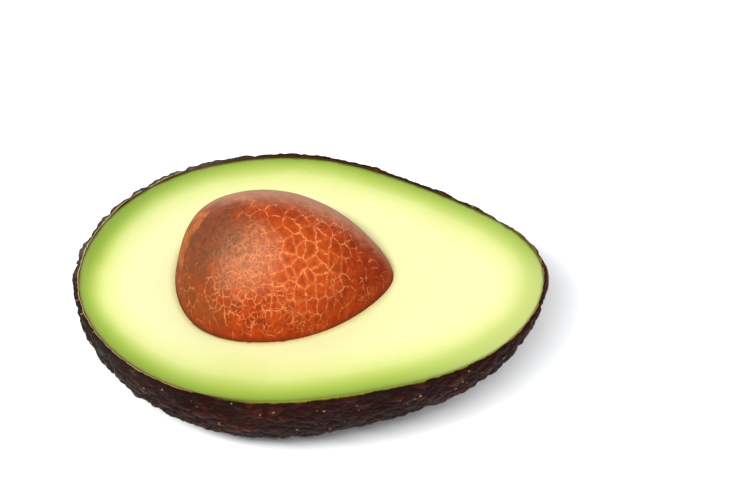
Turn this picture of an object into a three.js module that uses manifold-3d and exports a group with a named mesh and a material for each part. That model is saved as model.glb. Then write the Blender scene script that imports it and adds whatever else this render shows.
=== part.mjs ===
// Half of an avocado, cut lengthwise, lying on its rounded back with the seed still in place.
// Three pieces: the pebbled skin, the flesh that fills it, and the seed in the flesh's hollow.
// Units are millimetres. +X runs towards the stem end, +Z is up and square to the cut face.
// The origin is under the middle of the fruit, on the surface that it lies on.
import * as THREE from "three";
import { mergeVertices } from "three/addons/utils/BufferGeometryUtils.js";
import Module from "manifold-3d";

const wasm = await Module();
wasm.setup();

// Driving dimensions of the fruit over its skin. The depth is that of the half, below the cut.
// Both eggs narrow towards the stem by taper, and point sharpens that end, or fills it out.
const FRUIT = { length: 105, width: 72, depth: 34, taper: 0.19, point: -0.1 };
// The stem end leans to one side by this much, and the blossom end a little to the other
const LEAN = { stem: 1.8, blossom: -0.35 };
// Its +Y side bulges by this share round a place along the fruit, from -1 to 1, and fades away
const BULGE = { share: 0.035, at: 0.03, reach: 0.38 };
const SKIN_THICKNESS = 1.6;
// Clearance between neighbouring pieces, so that each is its own solid
const GAP = 0.3;
// The back would reach this far below the surface, and is flattened against it
const FLATTENED = 0.9;

// The seed is an egg with its point towards the stem, its middle a little below the cut
const SEED = {
  length: 47.8,
  width: 37.2,
  height: 41.6,
  taper: 0.2,
  point: 0.18,
  towardsBlossom: 5.9,
  aside: 0.7,
  belowCut: 0.5,
};

// Relief of the skin: rounded pebbles with creases between them
const PEBBLE = { pitch: 5.2, crown: 0.45, crease: -0.5, creaseShare: 0.62 };
// The mark where the stem came off: a shallow cup with a raised ring, just below the cut
const SCAR = { below: 5.2, aside: 3.0, radius: 3.4, ringWidth: 1.8, depth: 0.5, ring: 0.55 };

// Triangles along one eighth of each body
const OUTER_DETAIL = 44;
const FLESH_DETAIL = 19;
const SEED_DETAIL = 13;
// Cuts leave slivers thinner than this, which are merged away
const SLIVER = 0.02;

// A number from 0 to 1 for a cell of space that looks random and is the same on each run
function scatter(x, y, z, seed) {
  let bits = seed;
  for (const place of [x, y, z]) {
    bits = Math.imul(bits ^ (place + 1024), 0x9e3779b1);
    bits = Math.imul(bits ^ (bits >>> 15), 0x85ebca6b);
    bits ^= bits >>> 13;
  }
  return (bits >>> 0) / 2 ** 32;
}

// An egg's narrowing from -1 at its blunt end to 1 at the other, scaled to make the widest place 1
function narrowing({ taper, point }) {
  const raw = (s) => 1 - taper * s - point * s ** 3;
  const places = Array.from({ length: 401 }, (_, i) => i / 200 - 1);
  const widest = Math.max(...places.map((s) => raw(s) * Math.sqrt(1 - s * s)));
  return (s) => raw(s) / widest;
}
const fruitNarrowing = narrowing(FRUIT);
const seedNarrowing = narrowing(SEED);

// How far a point stands out of the mean skin. Pebbles grow round points scattered one to a cell.
function pebbleHeight(point) {
  const at = point.clone().divideScalar(PEBBLE.pitch);
  const cell = at.clone().floor();
  const centre = new THREE.Vector3();
  let nearest = Infinity;
  let second = Infinity;
  for (let i = -1; i <= 1; i++)
    for (let j = -1; j <= 1; j++)
      for (let k = -1; k <= 1; k++) {
        const [x, y, z] = [cell.x + i, cell.y + j, cell.z + k];
        centre.set(x + scatter(x, y, z, 1), y + scatter(x, y, z, 2), z + scatter(x, y, z, 3));
        const distance = centre.distanceTo(at);
        if (distance < nearest) [nearest, second] = [distance, nearest];
        else if (distance < second) second = distance;
      }
  const rise = THREE.MathUtils.smoothstep(second - nearest, 0, PEBBLE.creaseShare);
  return THREE.MathUtils.lerp(PEBBLE.crease, PEBBLE.crown, rise);
}

// Sideways place of the fruit's middle line, from -1 at the blossom end to 1 at the stem end
function lean(along) {
  const most = along > 0 ? LEAN.stem : LEAN.blossom;
  return -4 * most * along ** 2 * (1 - along ** 2);
}

// A body like an egg, its middle at the origin and its narrow end along +X.
// A subdivided octahedron is spread evenly over a sphere, with a row of its edges in each
// coordinate plane, and each direction is then carried to the egg by place(direction).
function eggBody(detail, place) {
  const ball = new THREE.OctahedronGeometry(1, detail);
  ball.deleteAttribute("normal");
  ball.deleteAttribute("uv");
  const geometry = mergeVertices(ball);
  const positions = geometry.getAttribute("position");
  const v = new THREE.Vector3();
  for (let i = 0; i < positions.count; i++) {
    v.fromBufferAttribute(positions, i);
    v.divideScalar(Math.abs(v.x) + Math.abs(v.y) + Math.abs(v.z));
    v.set(...v.toArray().map((c) => Math.sin((c * Math.PI) / 2))).normalize();
    const { x, y, z } = place(v);
    positions.setXYZ(i, x, y, z);
  }
  return geometry;
}

// How much wider the fruit is on the side of a direction
function bulge(direction) {
  if (direction.y <= 0) return 1;
  return 1 + BULGE.share * Math.exp(-(((direction.x - BULGE.at) / BULGE.reach) ** 2));
}

// The fruit's surface in one direction, this far inside the mean surface of the skin
function fruitPoint(direction, inside) {
  const share = fruitNarrowing(direction.x);
  const aside = (FRUIT.width / 2 - inside) * share * bulge(direction) * direction.y;
  return new THREE.Vector3(
    (FRUIT.length / 2 - inside) * direction.x,
    aside + lean(direction.x),
    (FRUIT.depth - inside) * share * direction.z,
  );
}

// The seed's surface in one direction, grown by a clearance
function seedPoint(direction, clearance) {
  const share = seedNarrowing(direction.x);
  return new THREE.Vector3(
    (SEED.length / 2 + clearance) * direction.x - SEED.towardsBlossom,
    (SEED.width / 2 + clearance) * share * direction.y + SEED.aside,
    (SEED.height / 2 + clearance) * share * direction.z - SEED.belowCut,
  );
}

// Presses everything above the cut down onto it, which closes a lower half with a flat face
function cutFlat(point) {
  point.z = Math.min(point.z, 0);
  return point;
}

const lowest = FLATTENED - FRUIT.depth;
const halfSizes = new THREE.Vector3(FRUIT.length / 2, FRUIT.width / 2, FRUIT.depth);
const scarCentre = new THREE.Vector3(FRUIT.length / 2, SCAR.aside, -SCAR.below);

// The skin's outer surface: pebbles, fading out on the flat and round the stem's mark
function outerPoint(direction) {
  const mean = fruitPoint(direction, 0);
  const outward = direction.clone().divide(halfSizes).normalize();
  const fromScar = mean.distanceTo(scarCentre);
  const calm = THREE.MathUtils.smoothstep(fromScar, SCAR.radius, SCAR.radius + 2 * SCAR.ringWidth);
  const ring = Math.exp(-(((fromScar - SCAR.radius) / SCAR.ringWidth) ** 2)) * SCAR.ring;
  const cup = fromScar < SCAR.radius ? -SCAR.depth * (1 - (fromScar / SCAR.radius) ** 2) : 0;
  const height = pebbleHeight(mean) * calm + ring + cup;
  const point = mean.addScaledVector(outward, height);
  point.z = Math.max(point.z, lowest);
  return cutFlat(point);
}

// A closed geometry as a manifold-3d solid, and back
function solidOf(geometry) {
  return new wasm.Manifold(
    new wasm.Mesh({
      numProp: 3,
      vertProperties: new Float32Array(geometry.getAttribute("position").array),
      triVerts: new Uint32Array(geometry.index.array),
    }),
  );
}

function geometryOf(solid) {
  const { vertProperties, triVerts } = solid.getMesh();
  const geometry = new THREE.BufferGeometry();
  geometry.setAttribute("position", new THREE.BufferAttribute(vertProperties, 3));
  geometry.setIndex(new THREE.BufferAttribute(triVerts, 1));
  geometry.computeVertexNormals();
  return geometry;
}

// The skin: a pebbled shell, open at the cut
function skinSolid() {
  const outside = solidOf(eggBody(OUTER_DETAIL, outerPoint));
  const inside = solidOf(eggBody(FLESH_DETAIL, (d) => fruitPoint(d, SKIN_THICKNESS)));
  return outside.subtract(inside).simplify(SLIVER);
}

// The flesh: it fills the skin up to the cut, with a hollow that the seed grew in
function fleshSolid() {
  const outside = solidOf(
    eggBody(FLESH_DETAIL, (d) => cutFlat(fruitPoint(d, SKIN_THICKNESS + GAP))),
  );
  const hollow = solidOf(eggBody(SEED_DETAIL, (d) => seedPoint(d, GAP)));
  return outside.subtract(hollow).simplify(SLIVER);
}

const skinMaterial = new THREE.MeshStandardMaterial({
  color: 0x3a2521,
  roughness: 0.45,
  metalness: 0,
});
const fleshMaterial = new THREE.MeshStandardMaterial({
  color: 0xeef3a4,
  roughness: 0.5,
  metalness: 0,
});
const seedMaterial = new THREE.MeshStandardMaterial({
  color: 0xb4471c,
  roughness: 0.4,
  metalness: 0,
});

const skin = new THREE.Mesh(geometryOf(skinSolid()), skinMaterial);
skin.name = "skin";
const flesh = new THREE.Mesh(geometryOf(fleshSolid()), fleshMaterial);
flesh.name = "flesh";
const seed = new THREE.Mesh(eggBody(SEED_DETAIL, (d) => seedPoint(d, 0)), seedMaterial);
seed.name = "seed";

const avocado = new THREE.Group();
avocado.add(skin, flesh, seed);

// Stands the flat of the back on z = 0, with the skin's middle over the origin
skin.geometry.computeBoundingBox();
const middle = skin.geometry.boundingBox.getCenter(new THREE.Vector3());
avocado.position.set(-middle.x, -middle.y, -lowest);

export default avocado;
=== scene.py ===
# %% [markdown]
# # Half an avocado with its seed
# This lesson dresses a plain CAD model of half an avocado: a pebbled skin, the flesh that
# fills it and the seed in its hollow. The half lies on its rounded back with the cut level.
# Each CAD part is replaced by a finer piece of the same size, in the same place, and gets a
# finish made of shader nodes. Lengths are typed in millimetres and turned into metres.

# %% Load the CAD frame
import math
import bpy
import numpy as np
from mathutils import Matrix, Vector, kdtree, noise


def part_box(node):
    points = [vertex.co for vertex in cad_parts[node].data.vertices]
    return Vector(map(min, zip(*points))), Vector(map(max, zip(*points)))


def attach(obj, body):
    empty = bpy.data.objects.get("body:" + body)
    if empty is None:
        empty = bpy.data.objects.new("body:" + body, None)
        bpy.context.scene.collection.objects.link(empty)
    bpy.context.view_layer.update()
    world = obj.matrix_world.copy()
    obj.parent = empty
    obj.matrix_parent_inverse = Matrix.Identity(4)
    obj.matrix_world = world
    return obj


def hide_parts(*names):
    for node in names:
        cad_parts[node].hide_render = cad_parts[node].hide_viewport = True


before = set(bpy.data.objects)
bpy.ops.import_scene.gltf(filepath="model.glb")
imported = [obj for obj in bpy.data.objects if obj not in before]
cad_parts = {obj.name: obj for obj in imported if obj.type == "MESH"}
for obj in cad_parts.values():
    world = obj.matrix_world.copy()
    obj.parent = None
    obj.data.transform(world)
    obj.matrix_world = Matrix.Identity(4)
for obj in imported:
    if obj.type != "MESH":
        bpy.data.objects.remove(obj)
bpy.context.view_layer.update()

MM = 0.001

# %% [markdown]
# ## The fruit's measures
# All three pieces are eggs: balls that are stretched to a length, a width and a depth and
# narrowed towards the stem. The same few numbers as in the CAD source give the same shapes,
# and the middle of the cut is read off the CAD parts themselves. Only the skin differs: it
# gets thinner towards the stem, where the CAD part keeps one thickness.

# %% Measures of the fruit and of the seed
FRUIT = {"length": 105, "width": 72, "depth": 34, "taper": 0.19, "point": -0.1}
SEED = {"length": 47.8, "width": 37.2, "depth": 20.8, "taper": 0.2, "point": 0.18}
LEAN_STEM, LEAN_BLOSSOM = 1.8 * MM, -0.35 * MM
BULGE, BULGE_AT, BULGE_REACH = 0.035, 0.03, 0.38
SKIN_THICKNESS = 1.6 * MM
THINNER_AT_STEM, THINNER_FROM = 0.55 * MM, 0.3
FLESH_CLEARANCE = 0.02 * MM
SEED_CLEARANCE = 0.06 * MM
SEED_BELOW_CUT, SEED_ASIDE = 0.5 * MM, 0.7 * MM
ON_LEVEL = 0.002 * MM

flesh_low, flesh_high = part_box("flesh")
seed_low, seed_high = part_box("seed")
seed_x, seed_y = (seed_low.x + seed_high.x) / 2, (seed_low.y + seed_high.y) / 2
CUT = Vector(((flesh_low.x + flesh_high.x) / 2, seed_y - SEED_ASIDE, flesh_high.z))
SEED_MIDDLE = Vector((seed_x, seed_y, CUT.z - SEED_BELOW_CUT))
print("middle of the cut in mm:", [round(v / MM, 2) for v in CUT])

# %% [markdown]
# ## Working by hand, in code
# A modeller adds a primitive, edits it, and picks points by where they are. These helpers
# do the same: one opens a piece in edit mode with chosen points selected, others read and
# write the places of its points.

# %% Helpers for selecting and editing
def pick(piece):
    """Selects one piece and nothing else."""
    if bpy.context.object:
        bpy.ops.object.mode_set(mode="OBJECT")
    bpy.ops.object.select_all(action="DESELECT")
    piece.select_set(True)
    bpy.context.view_layer.objects.active = piece


def places(piece):
    """Where the points of a piece are, one row each."""
    flat = np.empty(len(piece.data.vertices) * 3)
    piece.data.vertices.foreach_get("co", flat)
    return flat.reshape(-1, 3)


def put(piece, points):
    """Moves the points of a piece."""
    piece.data.vertices.foreach_set("co", np.ascontiguousarray(points).ravel())
    piece.data.update()


def edit(piece, chosen=None, mode="VERT"):
    """Opens a piece in edit mode with the chosen points selected, or all of them."""
    pick(piece)
    mesh = piece.data
    if chosen is not None:
        edge_ends = np.empty(len(mesh.edges) * 2, int)
        mesh.edges.foreach_get("vertices", edge_ends)
        corners = np.empty(len(mesh.loops), int)
        mesh.loops.foreach_get("vertex_index", corners)
        first_corners = np.empty(len(mesh.polygons), int)
        mesh.polygons.foreach_get("loop_start", first_corners)
        whole = np.logical_and.reduceat(chosen[corners], first_corners)
        mesh.vertices.foreach_set("select", chosen)
        mesh.edges.foreach_set("select", chosen[edge_ends].reshape(-1, 2).all(axis=1))
        mesh.polygons.foreach_set("select", whole)
    bpy.ops.object.mode_set(mode="EDIT")
    bpy.ops.mesh.select_mode(type=mode)
    if chosen is None:
        bpy.ops.mesh.select_all(action="SELECT")


def done():
    """Leaves edit mode."""
    bpy.ops.object.mode_set(mode="OBJECT")


def selected(piece):
    """Which points of a piece are selected, after edit mode is left."""
    flags = np.empty(len(piece.data.vertices), bool)
    piece.data.vertices.foreach_get("select", flags)
    return flags


def apply(piece, kind, **settings):
    """Adds a modifier with these settings and applies it."""
    pick(piece)
    modifier = piece.modifiers.new(kind.lower(), kind)
    for name, value in settings.items():
        setattr(modifier, name, value)
    bpy.ops.object.modifier_apply(modifier=modifier.name)


def keep(piece, name, values):
    """Stores one number for each point, which a material can read by that name."""
    attribute = piece.data.attributes.get(name)
    if attribute is None:
        attribute = piece.data.attributes.new(name, "FLOAT", "POINT")
    attribute.data.foreach_set("value", values)


def weigh(piece, name, weights):
    """Makes a vertex group with these weights, to the nearest hundredth."""
    group = piece.vertex_groups.new(name=name)
    rounded = np.round(weights, 2)
    for level in np.unique(rounded):
        group.add(np.flatnonzero(rounded == level).tolist(), float(level), "REPLACE")


# %% [markdown]
# ## An egg from a ball
# An icosphere spreads its triangles evenly, so relief is equally fine everywhere, where a
# UV sphere or a spun profile would crowd them at the ends. The ball is stretched with the
# resize tool. The narrowing to the stem is one formula on each point, so that skin, flesh
# and CAD part nest to a hundredth of a millimetre.

# %% Make an egg, or the lower half of one
def narrowing(egg, along):
    """The share of its full width that an egg has, from -1 at its blunt end to 1."""
    def raw(s):
        return 1 - egg["taper"] * s - egg["point"] * s**3

    whole_length = np.linspace(-1, 1, 401)
    return raw(along) / (raw(whole_length) * np.sqrt(1 - whole_length**2)).max()


def fruit_bend(along, aside):
    """Where points of a straight fruit go sideways: its far side bulges and its ends lean."""
    swell = 1 + BULGE * np.exp(-(((along - BULGE_AT) / BULGE_REACH) ** 2))
    most = np.where(along > 0, LEAN_STEM, LEAN_BLOSSOM)
    return np.where(aside > 0, aside * swell, aside) - 4 * most * along**2 * (1 - along**2)


def make_egg(name, egg, middle, inside, fineness, half):
    """An egg, or its open lower half, this far inside its full size."""
    bpy.ops.object.select_all(action="DESELECT")
    bpy.ops.mesh.primitive_ico_sphere_add(subdivisions=fineness, radius=1)
    piece = bpy.context.object
    piece.name = piece.data.name = name
    edit(piece)
    if half:
        bpy.ops.mesh.bisect(
            plane_co=(0, 0, 0), plane_no=(0, 0, 1), clear_outer=True, threshold=1e-5
        )
        bpy.ops.mesh.select_all(action="SELECT")
    size = (
        egg["length"] / 2 * MM - inside,
        egg["width"] / 2 * MM - inside,
        egg["depth"] * MM - inside,
    )
    bpy.ops.transform.resize(value=size, center_override=(0, 0, 0))
    done()
    points = places(piece)
    along = points[:, 0] / size[0]
    points[:, 1:] *= narrowing(egg, along)[:, None]
    if egg is FRUIT:
        points[:, 1] = fruit_bend(along, points[:, 1])
    put(piece, points + np.array(middle))
    print(name, "has", len(piece.data.polygons), "triangles to start from")
    return piece


def rim_of(piece, height):
    """Which points of an open half egg are on its rim."""
    return np.abs(places(piece)[:, 2] - height) < ON_LEVEL


def extrude_rim(piece, rim, goals, shares, marked, heights):
    """Extrudes a rim in rings towards its goals, one for each rim point.

    Each ring lies this share of the way, at the height given by heights(points, share), and
    the attribute named by marked keeps the share. Gives the points of the last ring.
    """
    edge = places(piece)[rim]
    order = np.flatnonzero(rim)
    for share in shares:
        edit(piece, np.isin(np.arange(len(piece.data.vertices)), order))
        bpy.ops.mesh.extrude_edges_move()
        done()
        fresh = np.flatnonzero(selected(piece))
        points = places(piece)
        previous = {tuple(points[index]): rank for rank, index in enumerate(order)}
        ranks = [previous[tuple(points[index])] for index in fresh]
        order = fresh[np.argsort(ranks)]
        ring = edge + (goals - edge) * share
        ring[:, 2] = heights(ring, share)
        points[order] = ring
        put(piece, points)
        level = np.zeros(len(points))
        piece.data.attributes[marked].data.foreach_get("value", level)
        level[order] = share
        keep(piece, marked, level)
    return order


# %% [markdown]
# ## Camera
# The photograph looks down on the cut face at 50 degrees, along the fruit's width, from far
# away with a long lens, so the far side is hardly smaller than the near side. The whole half
# stands a little left of the middle. The camera aims beside the fruit to get that framing,
# so it needs no lens shift.

# %% Place the camera
ELEVATION, TURN, ROLL = math.radians(50.0), math.radians(1.63), math.radians(-0.41)
DISTANCE, LENS = 850 * MM, 185.9
AIM_RIGHT, AIM_UP = 14.16 * MM, 5.86 * MM

camera_data = bpy.data.cameras.new("camera")
camera = bpy.data.objects.new("camera", camera_data)
bpy.context.scene.collection.objects.link(camera)
bpy.context.scene.camera = camera
camera_data.lens, camera_data.sensor_width = LENS, 36
camera_data.clip_start, camera_data.clip_end = 0.05, 20
back = Vector((
    math.sin(TURN) * math.cos(ELEVATION),
    -math.cos(TURN) * math.cos(ELEVATION),
    math.sin(ELEVATION),
))
right = Vector((0, 0, 1)).cross(back).normalized()
up = back.cross(right)
eye = CUT + back * DISTANCE
look = CUT + right * AIM_RIGHT + up * AIM_UP - eye
turned = look.to_track_quat("-Z", "Y").to_matrix().to_4x4() @ Matrix.Rotation(ROLL, 4, "Z")
camera.matrix_world = Matrix.Translation(eye) @ turned
print("camera at", [round(v, 3) for v in eye])

# %% [markdown]
# ## Floor and light
# The photograph is taken on white that is a little over-exposed, so that only a narrow shadow
# is left under the fruit. A softbox at the front left stands hardly higher than the camera,
# which hides most of the shadow behind the fruit. A weaker one at the back gives the seed's
# far edge its pale sheen, and a white world fills the shadows.

# %% Floor, softboxes and world
FLOOR_SIDE = 6.0
FLOOR_WHITE = (0.93, 0.94, 0.95, 1)

bpy.ops.object.select_all(action="DESELECT")
bpy.ops.mesh.primitive_plane_add(size=FLOOR_SIDE)
floor = bpy.context.object
floor.name = "floor"
floor_paint = bpy.data.materials.new("pale floor")
floor_paint.use_nodes = True
floor_paint.node_tree.nodes["Principled BSDF"].inputs["Base Color"].default_value = FLOOR_WHITE
floor_paint.node_tree.nodes["Principled BSDF"].inputs["Roughness"].default_value = 0.6
floor.data.materials.append(floor_paint)


def softbox(name, place, width, height, power, target=(0, 0, 0.02)):
    """A rectangular area light that faces the target."""
    data = bpy.data.lights.new(name, "AREA")
    data.shape, data.size, data.size_y, data.energy = "RECTANGLE", width, height, power
    lamp = bpy.data.objects.new(name, data)
    bpy.context.scene.collection.objects.link(lamp)
    lamp.location = place
    lamp.rotation_euler = (Vector(target) - Vector(place)).to_track_quat("-Z", "Y").to_euler()
    return lamp


softbox("softbox front left", (-0.23, -0.70, 1.09), 0.7, 0.14, 22)
softbox("softbox back", (0.18, 1.02, 0.62), 1.4, 0.4, 4)

world = bpy.data.worlds.new("white room")
bpy.context.scene.world = world
world.use_nodes = True
world.node_tree.nodes["Background"].inputs["Color"].default_value = (1, 1, 1, 1)
world.node_tree.nodes["Background"].inputs["Strength"].default_value = 0.5
bpy.context.scene.view_settings.view_transform = "Standard"
print("floor, two softboxes and a white world placed")

# %% [markdown]
# ## Node arithmetic
# Finishes are written as sums on values. A `Value` wraps a socket, and each operator on it
# adds a Math node. A `Finish` is one material, with one method that adds any other node.

# %% Value and Finish
class Value:
    """A socket whose arithmetic adds Math nodes."""

    def __init__(self, finish, socket):
        self.finish = finish
        self.socket = socket

    def maths(self, operation, *operands):
        inputs = dict(enumerate(operands))
        return self.finish.node("ShaderNodeMath", {"operation": operation}, inputs)

    def __add__(self, other):
        return self.maths("ADD", self, other)

    def __sub__(self, other):
        return self.maths("SUBTRACT", self, other)

    def __rsub__(self, other):
        return self.maths("SUBTRACT", other, self)

    def __mul__(self, other):
        return self.maths("MULTIPLY", self, other)

    def __truediv__(self, other):
        return self.maths("DIVIDE", self, other)

    def __pow__(self, other):
        return self.maths("POWER", self, other)

    __radd__ = __add__
    __rmul__ = __mul__

    def most(self, other):
        return self.maths("MAXIMUM", self, other)

    def step(self, low, high):
        """0 below low, 1 above high, and a smooth rise between; falls if low is above high."""
        turned = low > high
        rise = self.finish.node(
            "ShaderNodeMapRange",
            {"interpolation_type": "SMOOTHSTEP"},
            {"Value": self, "From Min": min(low, high), "From Max": max(low, high)},
        )
        return 1 - rise if turned else rise


class Finish:
    """A material made of nodes round one Principled shader."""

    def __init__(self, name):
        self.material = bpy.data.materials.new(name)
        self.material.use_nodes = True
        self.tree = self.material.node_tree
        self.shader = self.tree.nodes["Principled BSDF"]
        self.place = self.node("ShaderNodeTexCoord", output="Object")

    def feed(self, node, inputs):
        """Gives sockets of a node their values or links."""
        for name, value in inputs.items():
            if isinstance(value, Value):
                self.tree.links.new(value.socket, node.inputs[name])
            else:
                node.inputs[name].default_value = value

    def node(self, kind, settings=None, inputs=None, output=0):
        """Adds a node: its settings first, then its sockets. Gives one of its outputs."""
        node = self.tree.nodes.new(kind)
        for name, value in (settings or {}).items():
            if name == "stops":
                for index, (position, colour) in enumerate(value):
                    stops = node.color_ramp.elements
                    stop = stops[index] if index < 2 else stops.new(position)
                    stop.position, stop.color = position, colour
            else:
                setattr(node, name, value)
        self.feed(node, inputs or {})
        return Value(self, node.outputs[output])

    def attribute(self, name):
        return self.node("ShaderNodeAttribute", {"attribute_name": name}, output="Fac")

    def mix(self, mask, first, second):
        """The first colour where the mask is 0, the second where it is 1."""
        inputs = {0: mask, 6: first, 7: second}
        return self.node("ShaderNodeMix", {"data_type": "RGBA"}, inputs, output=2)

    def noise(self, size, detail=3.0, roughness=0.5, at=None, output=0):
        """Cloudy noise with blotches of about this size in metres, from 0 to 1."""
        inputs = {
            "Vector": at or self.place,
            "Scale": 1 / size,
            "Detail": detail,
            "Roughness": roughness,
        }
        return self.node("ShaderNodeTexNoise", {}, inputs, output)

    def stray(self, size, amount, at=None):
        """The place, shifted by noise: patterns read there lose their regular look."""
        start = at or self.place
        colour = self.noise(size, 2, at=start, output="Color")
        centred = self.node(
            "ShaderNodeVectorMath", {"operation": "SUBTRACT"}, {0: colour, 1: (0.5, 0.5, 0.5)}
        )
        inputs = {0: centred, 1: (amount, amount, amount), 2: start}
        return self.node("ShaderNodeVectorMath", {"operation": "MULTIPLY_ADD"}, inputs)

    def cells(self, size, feature, at=None, output="Distance", flat=False):
        """A Voronoi pattern with cells of this size. Distances are shares of a cell."""
        settings = {"feature": feature, "voronoi_dimensions": "2D" if flat else "3D"}
        inputs = {"Vector": at or self.place, "Scale": 1 / size}
        return self.node("ShaderNodeTexVoronoi", settings, inputs, output)

    def part(self, axis, at=None):
        """One coordinate of a place, X, Y or Z."""
        return self.node("ShaderNodeSeparateXYZ", {}, {0: at or self.place}, output=axis)

    def bump(self, height, depth, under=None):
        """Relief: the height, from 0 to 1, is this deep in metres."""
        inputs = {"Height": height, "Distance": depth, "Strength": 1.0}
        if under:
            inputs["Normal"] = under
        return self.node("ShaderNodeBump", {}, inputs)


def paint(red, green, blue, share=1.0):
    """A colour as a picture shows it, from 0 to 255, as the linear colour that a shader takes.

    The bright room lightens all that stands in it, so a finish is given only a share of it.
    """
    def linear(level):
        level = level / 255
        return level / 12.92 if level <= 0.04045 else ((level + 0.055) / 1.055) ** 2.4

    return (linear(red) * share, linear(green) * share, linear(blue) * share, 1)


# %% [markdown]
# ## Skin: shape
# The skin of a ripe dark avocado is a thin leathery shell covered in pebbles a few
# millimetres wide, which run into each other in creases, with coarser lumps at the blunt end.
# Bump alone would leave its outline smooth, so the pebbles are real relief: Displace
# modifiers push the points in and out by Voronoi cells, by broad clouds and by fine grain.
# The place under each point on the skin's inner side is known too: it gives the relief's
# height, and later the cut edge.

# %% Sizes of the pebbles and of the stem's mark
BROAD, LUMP, HUMP, PEBBLE = 17 * MM, 5.4 * MM, 5 * MM, 3.6 * MM
KNOB, GRAIN = 1.8 * MM, 1 * MM
BROAD_DEPTH, LUMP_DEPTH, HUMP_DEPTH = 0.4 * MM, 0.8 * MM, 1.1 * MM
PEBBLE_DEPTH, KNOB_DEPTH, GRAIN_DEPTH = 0.52 * MM, 0.24 * MM, 0.26 * MM
DOME = ((0.0, 0.0), (0.12, 0.42), (0.4, 0.82), (0.9, 1.0))
SCAR_BELOW, SCAR_ASIDE = 5.2 * MM, 3.0 * MM
SCAR_RADIUS, SCAR_RING = 3.4 * MM, 1.8 * MM
SCAR_RISE, SCAR_DEPTH = 0.55 * MM, 0.5 * MM

# %% Half an egg, thinner towards the stem
skin = make_egg("skin_outside", FRUIT, CUT, 0, 8, half=True)
lining = make_egg("skin_lining", FRUIT, CUT, SKIN_THICKNESS, 8, half=True)
under = places(lining)
mean = places(skin)
bpy.data.objects.remove(lining)

half_length = FRUIT["length"] / 2 * MM
along = (mean[:, 0] - CUT.x) / half_length
rise = np.clip((along - THINNER_FROM) / (1 - THINNER_FROM), 0, 1)
thinner = THINNER_AT_STEM * rise**2 * (3 - 2 * rise)
mean += (under - mean) * (thinner / SKIN_THICKNESS)[:, None]
put(skin, mean)
print("skin is", round((SKIN_THICKNESS - thinner.max()) / MM, 2), "mm thick at the stem end")

# %% Push the pebbles in and out
scar_centre = np.array(CUT) + (half_length, SCAR_ASIDE, -SCAR_BELOW)
from_scar = np.linalg.norm(mean - scar_centre, axis=1)
calm = np.clip((from_scar - SCAR_RADIUS) / (2 * SCAR_RING), 0, 1)
weigh(skin, "pebbled", calm)
weigh(skin, "lumpy", np.clip((-along - 0.2) / 0.45, 0, 1))


def texture(name, kind, size, **settings):
    """A texture for a Displace modifier, with features of this size."""
    made = bpy.data.textures.new(name, kind)
    made.noise_scale = size
    for key, value in settings.items():
        setattr(made, key, value)
    return made


def domes(name, size):
    """A texture of rounded domes with creases between them."""
    made = texture(name, "VORONOI", size, weight_1=-1, weight_2=1, noise_intensity=2)
    made.use_color_ramp = True
    made.color_ramp.interpolation = "B_SPLINE"
    for index, (position, level) in enumerate(DOME):
        stops = made.color_ramp.elements
        stop = stops[index] if index < 2 else stops.new(position)
        stop.position, stop.color = position, (level, level, level, 1)
    return made


for pattern, depth, middle, group in (
    (texture("broad swells", "CLOUDS", BROAD, noise_depth=1), BROAD_DEPTH, 0.55, "pebbled"),
    (domes("lumps", LUMP), LUMP_DEPTH, 0.48, "lumpy"),
    (texture("humps", "CLOUDS", HUMP, noise_depth=2), HUMP_DEPTH, 0.76, "pebbled"),
    (domes("pebbles", PEBBLE), PEBBLE_DEPTH, 0.7, "pebbled"),
    (domes("knobs", KNOB), KNOB_DEPTH, 0.7, "pebbled"),
    (texture("grain", "CLOUDS", GRAIN, noise_depth=2), GRAIN_DEPTH, 0.6, "pebbled"),
):
    apply(
        skin, "DISPLACE", texture=pattern, texture_coords="LOCAL", direction="NORMAL",
        strength=depth, mid_level=middle, vertex_group=group,
    )

# %% The stem's mark, the flat and the relief's height
points = places(skin)
outward = (mean - under) / np.linalg.norm(mean - under, axis=1)[:, None]
ring = np.exp(-(((from_scar - SCAR_RADIUS) / SCAR_RING) ** 2)) * SCAR_RISE
cup = np.where(from_scar < SCAR_RADIUS, SCAR_DEPTH * (1 - (from_scar / SCAR_RADIUS) ** 2), 0)
points += outward * (ring - cup)[:, None]
relief = ((points - mean) * outward).sum(axis=1)
keep(skin, "relief", relief / MM)
print("relief from", round(relief.min() / MM, 2), "to", round(relief.max() / MM, 2), "mm")
put(skin, points)
edit(skin, points[:, 2] < 0)
bpy.ops.transform.resize(value=(1, 1, 0), center_override=(0, 0, 0))
done()

# %% [markdown]
# ## Skin: cut edge and inner side
# Where the knife went through, the skin shows as a band 1.6 mm wide. The outer rim is
# extruded inwards ring by ring, and its shoulder sags a little because the tough skin drags
# under the blade. A coarser inner shell is joined to the last ring by a bridge, which closes
# the skin into one solid sheet.

# %% Extrude the rim inwards
EDGE_RINGS = (0.1, 0.25, 0.5, 0.75, 0.94)
SHOULDER_SHARES = (0.0, 0.1, 0.25, 1.0)
SHOULDER_DROPS = (0.28 * MM, 0.12 * MM, 0.03 * MM, 0.0)
EDGE_RAGGED = 0.12 * MM
PROUD_SHARES = (0.0, 0.25, 0.94, 1.0)
PROUD_RISES = (0.35 * MM, 0.6 * MM, 0.5 * MM, 0.0)
PROUD_BEYOND = 18 * MM
SHARP = math.radians(65)


def ragged(points, size, amount, start):
    """A small random height for each point, the same on each run."""
    shift = Vector((start, 0, 0))
    return np.array([noise.noise(Vector(point) / size + shift) for point in points]) * amount


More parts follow.
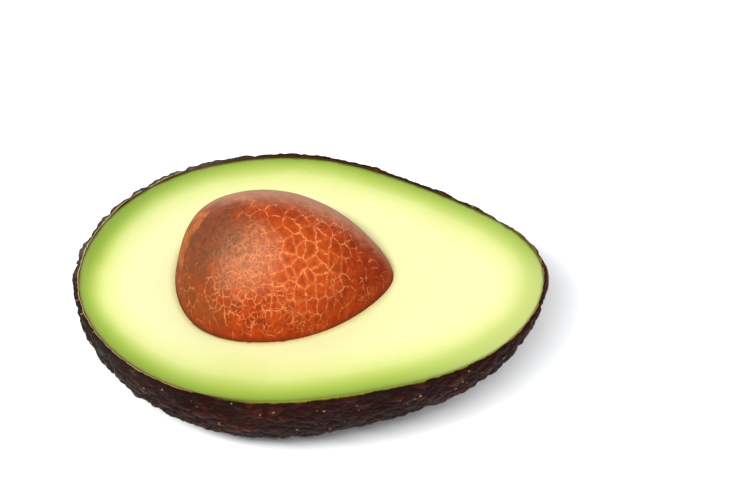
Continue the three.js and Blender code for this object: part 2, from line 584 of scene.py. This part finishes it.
def shoulder(points, share):
    """The height of a ring of the skin's cut edge: it sags outwards, and is a little ragged.

    On the far side the knife came out, and left the skin's edge standing proud of the flesh.
    """
    drop = np.interp(share, SHOULDER_SHARES, SHOULDER_DROPS)
    rise = np.interp(share, PROUD_SHARES, PROUD_RISES)
    far = np.clip((points[:, 1] - CUT.y) / PROUD_BEYOND, 0, 1)
    far *= 0.75 + ragged(points, 4 * MM, 0.8, 7.0)
    return CUT.z - drop + rise * far - np.abs(ragged(points, 1.6 * MM, EDGE_RAGGED, 3.0))


rim = np.abs(mean[:, 2] - CUT.z) < ON_LEVEL
points = places(skin)
points[rim, 2] = shoulder(points[rim], 0)
put(skin, points)
keep(skin, "across", np.zeros(len(points)))
last_ring = extrude_rim(skin, rim, under[rim], EDGE_RINGS, "across", shoulder)
print("each ring of the cut edge has", len(last_ring), "points")

# %% Join the inner shell
inner = make_egg("skin_inside", FRUIT, CUT, SKIN_THICKNESS, 6, half=True)
keep(inner, "across", np.ones(len(inner.data.vertices)))
keep(inner, "relief", np.zeros(len(inner.data.vertices)))
before = len(skin.data.vertices)
pick(skin)
inner.select_set(True)
bpy.ops.object.join()
loop = rim_of(skin, CUT.z)
loop[:before] = False
loop[last_ring] = True
edit(skin, loop, mode="EDGE")
bpy.ops.mesh.bridge_edge_loops()
bpy.ops.mesh.select_all(action="SELECT")
bpy.ops.mesh.normals_make_consistent(inside=False)
done()
bpy.ops.object.shade_smooth_by_angle(angle=SHARP)
skin.name = skin.data.name = "skin_shell"
print("skin has", len(skin.data.polygons), "faces")

# %% [markdown]
# ## Skin: finish
# A ripe skin is purple-brown to black and hardly shines. It is greyer at the blunt end, with
# small corky tan specks. Painted shade darkens its creases and its underside, and painted grey
# highlights sit on the crowns of the lumps at the blunt end. The relief's height is stored on
# the points, so the colours can follow it without a picture. On the cut edge a thin tan line
# runs beside a dark seam. Green merges into it at the near side, and at the far side of the
# blunt end it is paler.

# %% The skin's creases, crowns and specks
SKIN_SHADE, TAN_SHADE, SPECK_SHADE = 0.62, 0.72, 0.8
SPECK_SPACING = 1.5 * MM

finish = Finish("avocado skin")
relief = finish.attribute("relief")
x, y, z = (finish.part(axis) for axis in "XYZ")
blotch = finish.noise(9 * MM, 3)
fine = finish.noise(0.8 * MM, 4, 0.6)
crown = relief.step(-0.5, 0.15)
colour = finish.mix(
    blotch.step(0.35, 0.65), paint(60, 18, 7, SKIN_SHADE), paint(80, 25, 12, SKIN_SHADE)
)
# Painted shade: the creases are darkened where the relief is low.
colour = finish.mix((1 - crown) * 0.75, colour, paint(18, 8, 5, SKIN_SHADE))
colour = finish.mix(crown * fine.step(0.45, 0.75) * 0.4, colour, paint(100, 50, 34, SKIN_SHADE))
dusky = x.step(-24 * MM, -44 * MM)
# Painted highlight: light grey on the crowns of the lumps at the blunt end.
painted_crown_highlight = dusky * crown * fine.step(0.45, 0.7)
colour = finish.mix(dusky * 0.6, colour, paint(50, 42, 36, SKIN_SHADE))
colour = finish.mix(painted_crown_highlight * 0.45, colour, paint(118, 110, 102, SKIN_SHADE))
# Painted shade: the skin is darker towards its underside.
painted_shade_below = z.step(24 * MM, 6 * MM)
colour = finish.mix(painted_shade_below * 0.6, colour, paint(20, 12, 8, SKIN_SHADE))
wide = finish.noise(7 * MM, 2)
near_cut = (z + wide * 5 * MM).step(31.5 * MM, 34.5 * MM)
far_edge = y.step(-4 * MM, 8 * MM) * near_cut * (0.4 + crown * 0.6)
# Paler towards the far edge at the blunt end, on the skin and on its tan line.
pale_far_end = far_edge * x.step(-6 * MM, -24 * MM)
colour = finish.mix(far_edge * 0.22, colour, paint(104, 86, 46, SKIN_SHADE))
colour = finish.mix(pale_far_end * 0.45, colour, paint(140, 128, 102, SKIN_SHADE))
strewn = finish.stray(0.8 * MM, 0.5 * MM)
from_spot = finish.cells(SPECK_SPACING, "F1", strewn)
lot = finish.cells(SPECK_SPACING, "F1", strewn, output="Color")
crowded = finish.noise(11 * MM, 1).step(0.42, 0.58)
speck_size = finish.part("Y", lot) * 0.13 + 0.09
chosen = finish.part("X", lot).step(0.5, 0.54) * crowded
speck = (speck_size - from_spot + (fine - 0.5) * 0.25).step(-0.03, 0.03) * chosen
colour = finish.mix(speck * 0.7, colour, paint(164, 128, 92, SPECK_SHADE))

# %% The skin's cut edge
across = finish.attribute("across")
cork = finish.noise(1.6 * MM, 3, 0.6)
ends = x.step(-18 * MM, -36 * MM) + x.step(20 * MM, 40 * MM) * 0.8
far_rim = y.step(8 * MM, 22 * MM)
near_rim = y.step(-16 * MM, -28 * MM) * x.step(-24 * MM, -8 * MM)
kept = (cork + wide * 0.6 + ends * 0.4 - far_rim * 0.16).step(0.84, 1.04)
edge = across + (cork - 0.5) * 0.4
line = edge.step(0.66, 0.76) * edge.step(0.92, 0.82) * kept
seam = edge.step(0.82, 0.92)
merging = near_rim * edge.step(0.35, 0.8)
tan = finish.mix(pale_far_end * 0.7, paint(198, 166, 102, TAN_SHADE), paint(226, 212, 160, TAN_SHADE))
colour = finish.mix(line * 0.85, colour, tan)
colour = finish.mix(seam * (1 - near_rim) * 0.7, colour, paint(84, 62, 28, SKIN_SHADE))
colour = finish.mix(merging * 0.85, colour, paint(146, 158, 50, SKIN_SHADE))

# %% The stem's mark and the skin's shader
from_mark = finish.node(
    "ShaderNodeVectorMath", {"operation": "DISTANCE"},
    {0: finish.place, 1: scar_centre}, output="Value",
)
woody = (from_mark / SCAR_RADIUS + (cork - 0.5) * 0.4).step(1.15, 0.9)
colour = finish.mix(woody, colour, finish.mix(fine, paint(70, 40, 24), paint(150, 106, 66)))
finish.feed(finish.shader, {
    "Base Color": colour,
    "Roughness": 0.5 - crown * 0.14 + fine * 0.16,
    "Specular IOR Level": 0.04,
    "Normal": finish.bump(fine, 0.22 * MM, finish.bump(finish.noise(0.35 * MM, 2), 0.08 * MM)),
})
skin.data.materials.clear()
skin.data.materials.append(finish.material)
print("skin finish has", len(finish.tree.nodes), "nodes")
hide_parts("skin")
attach(skin, "root")

# %% [markdown]
# ## Flesh: shape
# The flesh is a buttery solid that fills the skin. Its cut face is flat with the faintest
# waves from the knife, and it turns down in a small soft lip where the seed sits. Two open
# half eggs make its outside and the hollow. The outer rim is extruded ring by ring until it
# meets the hollow, so the face has points enough for the waves and for its colours.

# %% Outside, cut face and hollow
FACE_RINGS = 30

flesh = make_egg("flesh_outside", FRUIT, CUT, SKIN_THICKNESS + FLESH_CLEARANCE, 7, half=True)
hollow = make_egg("flesh_hollow", SEED, SEED_MIDDLE, -SEED_CLEARANCE, 7, half=True)
outside_count = len(flesh.data.vertices)
flesh_rim, hollow_rim = rim_of(flesh, CUT.z), rim_of(hollow, SEED_MIDDLE.z)
hollow_edge = places(hollow)[hollow_rim]
hollow_edge[:, 2] = CUT.z
edit(hollow, hollow_rim)
bpy.ops.mesh.extrude_edges_move(TRANSFORM_OT_translate={"value": (0, 0, SEED_BELOW_CUT)})
done()
keep(flesh, "inward", np.zeros(outside_count))
rings = tuple((ring + 1) / FACE_RINGS for ring in range(FACE_RINGS))
extrude_rim(flesh, flesh_rim, hollow_edge, rings, "inward", lambda ring, share: CUT.z)
pick(flesh)
hollow.select_set(True)
bpy.ops.object.join()
edit(flesh)
bpy.ops.mesh.remove_doubles(threshold=0.005 * MM)
bpy.ops.mesh.normals_make_consistent(inside=False)
done()
flesh.name = flesh.data.name = "flesh_half"
print("flesh has", len(flesh.data.polygons), "faces")

# %% Distances from the skin and from the seed
DEEP_INSIDE = 15
HOLLOW_REACH, HOLLOW_ABOVE = 1.05, 8 * MM


def distances(points, edge_points):
    """How far each point is from the nearest of the edge's points, in millimetres."""
    tree = kdtree.KDTree(len(edge_points))
    for index, point in enumerate(edge_points):
        tree.insert(point, index)
    tree.balance()
    return np.array([tree.find(point)[2] for point in points]) / MM


def loop_points(egg, middle, inside, count=2400):
    """Points along an egg's outline at its widest level, at the height of the cut."""
    turn = np.linspace(0, 2 * math.pi, count, endpoint=False)
    along = np.cos(turn)
    points = np.zeros((count, 3))
    points[:, 0] = (egg["length"] / 2 * MM - inside) * along
    points[:, 1] = (egg["width"] / 2 * MM - inside) * narrowing(egg, along) * np.sin(turn)
    if egg is FRUIT:
        points[:, 1] = fruit_bend(along, points[:, 1])
    points += np.array(middle)
    points[:, 2] = CUT.z
    return points


points = places(flesh)
on_face = np.abs(points[:, 2] - CUT.z) < ON_LEVEL
skin_line = loop_points(FRUIT, CUT, SKIN_THICKNESS + FLESH_CLEARANCE)
seed_line = loop_points(SEED, SEED_MIDDLE, -SEED_CLEARANCE)
from_skin = np.zeros(len(points))
from_seed = np.zeros(len(points))
from_skin[on_face] = distances(points[on_face], skin_line)
from_seed[on_face] = distances(points[on_face], seed_line)
seed_half = np.array([SEED["length"], SEED["width"]]) / 2 * MM
from_middle = np.linalg.norm((points - SEED_MIDDLE)[:, :2] / seed_half, axis=1)
in_hollow = ~on_face & (from_middle < HOLLOW_REACH) & (points[:, 2] > HOLLOW_ABOVE)
from_skin[in_hollow] = DEEP_INSIDE
keep(flesh, "from_skin", from_skin)
keep(flesh, "from_seed", from_seed)
print("the face reaches", round(from_skin[on_face].max(), 1), "mm in from the skin")

# %% Waves of the knife and the lip round the seed
LIP_WIDTH, LIP_DEPTH = 0.45 * MM, 0.27 * MM
WAVE, WAVE_DEPTH = 15 * MM, 0.22 * MM
STEADY_WITHIN = 3

steady = np.clip(np.minimum(from_skin, from_seed) / STEADY_WITHIN, 0, 1)
waves = ragged(points[on_face], WAVE, WAVE_DEPTH, 11.0)
points[on_face, 2] += waves * steady[on_face]
lip = np.clip(1 - from_seed * MM / LIP_WIDTH, 0, 1) ** 2 * LIP_DEPTH
points[on_face, 2] -= lip[on_face]
put(flesh, points)
pick(flesh)
bpy.ops.object.shade_smooth_by_angle(angle=SHARP)
print("waves of the cut go", round(np.abs(waves).max() / MM, 2), "mm up and down")

# %% [markdown]
# ## Flesh: finish
# From the skin inwards the flesh goes from a strong green over yellow-green to a cream that
# is nearly white beside the seed. The green is widest at the near side and round the blunt
# end, where it is strongest too, and palest at the stem end. A ramp turns the distance from
# the skin, which each point knows, into these colours. A new ramp has two stops, so its two
# ends come first in the list. Light sinks a little way in, so the shader scatters it.

# %% The flesh's material
finish = Finish("avocado flesh")
from_skin = finish.attribute("from_skin")
from_seed = finish.attribute("from_seed")
x, y = finish.part("X"), finish.part("Y")
front = y.step(-4 * MM, -28 * MM)
back = y.step(4 * MM, 28 * MM)
stem = x.step(14 * MM, 46 * MM)
blunt = x.step(-10 * MM, -46 * MM)
cloud = finish.noise(13 * MM, 2)
upper = y.step(-4 * MM, 10 * MM)
green_width = 9.8 + front * (3.4 + blunt * 1.5) + back * 1.2 + (cloud - 0.5) * 4.0
green_width = green_width + upper * (blunt * 3.8 + stem * 1.5)
share = from_skin / green_width
GREEN_SHADE, CREAM_SHADE = 0.61, 0.65
GREEN_TO_CREAM = (
    (0.0, paint(134, 150, 48, GREEN_SHADE)),
    (1.0, paint(254, 255, 186, CREAM_SHADE)),
    (0.06, paint(158, 187, 58, GREEN_SHADE)),
    (0.19, paint(184, 211, 80, GREEN_SHADE)),
    (0.33, paint(211, 229, 112, GREEN_SHADE)),
    (0.47, paint(232, 241, 146, CREAM_SHADE)),
    (0.62, paint(243, 249, 162, CREAM_SHADE)),
    (0.8, paint(249, 253, 174, CREAM_SHADE)),
)
colour = finish.node("ShaderNodeValToRGB", {"stops": GREEN_TO_CREAM}, {"Fac": share})
pale = stem * share.step(0.8, 0.0) * (0.62 - upper * 0.5)
colour = finish.mix(pale, colour, paint(236, 243, 156, GREEN_SHADE))
strong = blunt * share.step(0.4, 0.08) * (0.3 + upper * 0.35)
colour = finish.mix(strong, colour, paint(136, 170, 34, GREEN_SHADE))
white = from_seed.step(16, 3) * blunt
colour = finish.mix(white * 0.6, colour, paint(255, 255, 208, GREEN_SHADE))
# Painted shade: a thin tan shade on the flesh right round the seed.
painted_shade_by_seed = from_seed.step(1.8, 0.1)
colour = finish.mix(painted_shade_by_seed * 0.35, colour, paint(230, 196, 120, GREEN_SHADE))
bruise = (finish.noise(2.6 * MM, 3) * 0.9 - from_skin).step(-0.05, 0.3)
colour = finish.mix(bruise * (0.3 + upper * 0.5), colour, paint(104, 104, 40, GREEN_SHADE))
soft = finish.noise(2.2 * MM, 3)
finish.feed(finish.shader, {
    "Base Color": colour,
    "Roughness": 0.42 + soft * 0.12,
    "Specular IOR Level": 0.4,
    "Subsurface Weight": 0.35,
    "Subsurface Radius": (1.0, 0.8, 0.35),
    "Subsurface Scale": 2.0 * MM,
    "Normal": finish.bump(soft, 0.05 * MM),
})
flesh.data.materials.clear()
flesh.data.materials.append(finish.material)
print("flesh finish has", len(finish.tree.nodes), "nodes")
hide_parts("flesh")
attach(flesh, "root")

# %% [markdown]
# ## Seed: shape
# The seed is an egg with a blunt point towards the stem, and slightly lumpy. One whole
# icosphere is stretched and narrowed, and low clouds make the lumps.

# %% The seed's egg
SEED_LUMP, SEED_LUMP_DEPTH = 12 * MM, 0.6 * MM
LUMPY_ABOVE = 5 * MM

seed = make_egg("seed_egg", SEED, SEED_MIDDLE, 0.02 * MM, 7, half=False)
free = np.clip((places(seed)[:, 2] - CUT.z) / LUMPY_ABOVE, 0, 1)
weigh(seed, "free", free)
lumps = texture("seed lumps", "CLOUDS", SEED_LUMP, noise_depth=1)
apply(
    seed, "DISPLACE", texture=lumps, texture_coords="LOCAL", direction="NORMAL",
    strength=SEED_LUMP_DEPTH, mid_level=0.85, vertex_group="free",
)
edit(seed)
bpy.ops.mesh.faces_shade_smooth()
done()
print("seed stands", round((places(seed)[:, 2].max() - CUT.z) / MM, 1), "mm above the cut")

# %% [markdown]
# ## Seed: finish
# The seed's coat is red-brown and hardly shines. A net of pale orange cracks covers its
# middle: wide cells on the stem side, small ones on the blunt side. There is none under the
# brown bloom at the upper left, and below it lies a pale pink patch, partly dust and partly a
# painted highlight. A painted sheen of light tan covers the far side, and a flake of amber coat
# clings to the blunt end. Painted shade darkens the seed just above the flesh. The cracks
# follow the surface, because they are drawn on a map that is unrolled from the seed's top.

# %% The seed's map and its nets of cracks
finish = Finish("avocado seed")
to_seed = finish.node(
    "ShaderNodeVectorMath", {"operation": "SUBTRACT"}, {0: finish.place, 1: SEED_MIDDLE}
)
x, y, z = (finish.part(axis, to_seed) for axis in "XYZ")
half_long, half_wide = SEED["length"] / 2 * MM, SEED["width"] / 2 * MM
half_high = SEED["depth"] * MM
slope = ((x / half_long) ** 2 + (y / half_wide) ** 2) ** 0.5
from_top = slope.maths("ARCTAN2", slope, z / half_high)
spread = from_top / slope.most(0.01)
map_of_seed = finish.node("ShaderNodeCombineXYZ", {}, {0: x * spread, 1: y * spread})
bent = finish.stray(2.4 * MM, 1.7 * MM, finish.stray(0.8 * MM, 0.7 * MM, map_of_seed))
large_net = finish.cells(3.1 * MM, "DISTANCE_TO_EDGE", bent, flat=True)
small_net = finish.cells(1.5 * MM, "DISTANCE_TO_EDGE", bent, flat=True)
crackle = finish.cells(0.9 * MM, "DISTANCE_TO_EDGE", bent, flat=True)
vary = finish.noise(1.5 * MM, 2, at=bent).step(0.36, 0.62)
patch = finish.noise(6.5 * MM, 2, at=to_seed)
patch_fine = finish.noise(3.2 * MM, 2, at=bent)
grain = finish.noise(0.9 * MM, 5, 0.7, at=to_seed)
mottle = finish.noise(4.0 * MM, 4, 0.6, at=bent)

# %% Zones of the seed
u, v = finish.part("X", map_of_seed) / MM, finish.part("Y", map_of_seed) / MM


def near(at_u, at_v, radius, soft):
    """1 within a radius of a place on the seed's map, in millimetres, fading to 0 outside."""
    away = ((u - at_u) ** 2 + (v - at_v) ** 2) ** 0.5 + (mottle - 0.5) * 7
    return away.step(radius + soft, radius - soft)


bloom = near(-16, -2.5, 8.5, 5)
# The pale pink patch below the bloom is partly dust and partly a painted highlight.
dust_and_highlight = near(-8.5, -9, 6.5, 4.5)
crazed = near(-7, -15, 10, 5)
netted = near(5, -11, 10, 6)
netted_above = near(9, -1, 9, 5)
brown = near(-26, -17, 11, 7)
# Painted sheen: a pale tan band over the seed's far side, where light grazes it.
painted_sheen_back = ((y + x.most(0) * 0.2) / MM + (mottle - 0.5) * 6).step(1.5, 9.5)
# Painted shade: the seed darkens just above the flesh where it sits in the hollow.
low = ((z - SEED_BELOW_CUT) / MM + (mottle - 0.5) * 2).step(1.8, 0.2)
deep = (z / MM).step(6, 1)
tip = (x / MM).step(12, 22)
over = v * 0.73 - u * 0.68 + (mottle - 0.5) * 3
beside = u * 0.73 + v * 0.68
flake = over.step(13.8, 14.2) * over.step(27, 23) * beside.step(-25, -22) * beside.step(-5, -9)

# %% The seed's cracks
large_zone = (patch_fine + netted.most(netted_above) * 0.12).step(0.42, 0.6)
small_zone = (patch + crazed * 0.25).step(0.52, 0.68)
large_cracks = large_net.step(0.08, 0.015) * large_zone
small_cracks = small_net.step(0.12, 0.03) * small_zone
halo = large_net.step(0.3, 0.03) * netted
unhidden = (1 - bloom * 0.92) * (1 - tip * 0.25) * (1 - (z / MM).step(5, 1) * 0.6)
cracks = large_cracks.most(small_cracks * 0.7) * unhidden * (1 - painted_sheen_back * 0.4)
veins = crackle.step(0.16, 0.02) * dust_and_highlight * (0.3 + vary)
# Paler cracks show through the painted sheen on the far side.
cracks_in_sheen = large_net.step(0.07, 0.02).most(small_net.step(0.1, 0.03) * 0.6)
cracks_in_sheen = cracks_in_sheen * patch.step(0.4, 0.6) * painted_sheen_back * vary

# %% The seed's colours and shader
SEED_SHADE = 0.64


def coat(mask, red, green, blue):
    """Lays one more colour over the seed where the mask is 1."""
    return finish.mix(mask, colour, paint(red, green, blue, SEED_SHADE))


colour = finish.mix(
    mottle.step(0.3, 0.7), paint(156, 42, 0, SEED_SHADE), paint(206, 76, 8, SEED_SHADE)
)
colour = coat(halo * 0.5 + netted * 0.3, 230, 104, 38)
colour = coat(grain.step(0.42, 0.7) * 0.5, 112, 34, 6)
colour = coat(brown * 0.7, 146, 78, 34)
# Partly dust, partly a painted highlight.
colour = coat(dust_and_highlight * (0.15 + grain * 0.6), 210, 142, 98)
colour = coat(veins * 0.4, 248, 188, 146)
# Painted sheen over the far side.
colour = coat(painted_sheen_back * (0.4 + grain * 0.7), 214, 160, 124)
colour = coat(cracks_in_sheen * 0.5, 242, 206, 174)
colour = coat(bloom * (0.3 + grain * 0.8), 122, 80, 50)
colour = coat(bloom * grain.step(0.48, 0.6) * 0.3, 84, 50, 34)
colour = coat(tip * (1 - painted_sheen_back) * 0.55, 130, 28, 0)
colour = coat(deep * 0.5, 186, 50, 0)
colour = coat(cracks * (0.3 + vary * 0.7), 248, 148, 86)
amber = finish.mix(
    mottle.step(0.35, 0.65), paint(184, 80, 18, SEED_SHADE), paint(226, 128, 56, SEED_SHADE)
)
colour = finish.mix(flake * (0.6 + grain * 0.5), colour, amber)
# Painted shade where the seed meets the flesh.
colour = coat(low * 0.5, 118, 58, 16)
finish.feed(finish.shader, {
    "Base Color": colour,
    "Roughness": 0.5 + grain * 0.15,
    "Specular IOR Level": 0.1,
    "Normal": finish.bump(
        grain, 0.05 * MM, finish.bump(1 - cracks, 0.07 * MM, finish.bump(flake, 0.25 * MM))
    ),
})
seed.data.materials.clear()
seed.data.materials.append(finish.material)
print("seed finish has", len(finish.tree.nodes), "nodes")
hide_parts("seed")
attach(seed, "root")
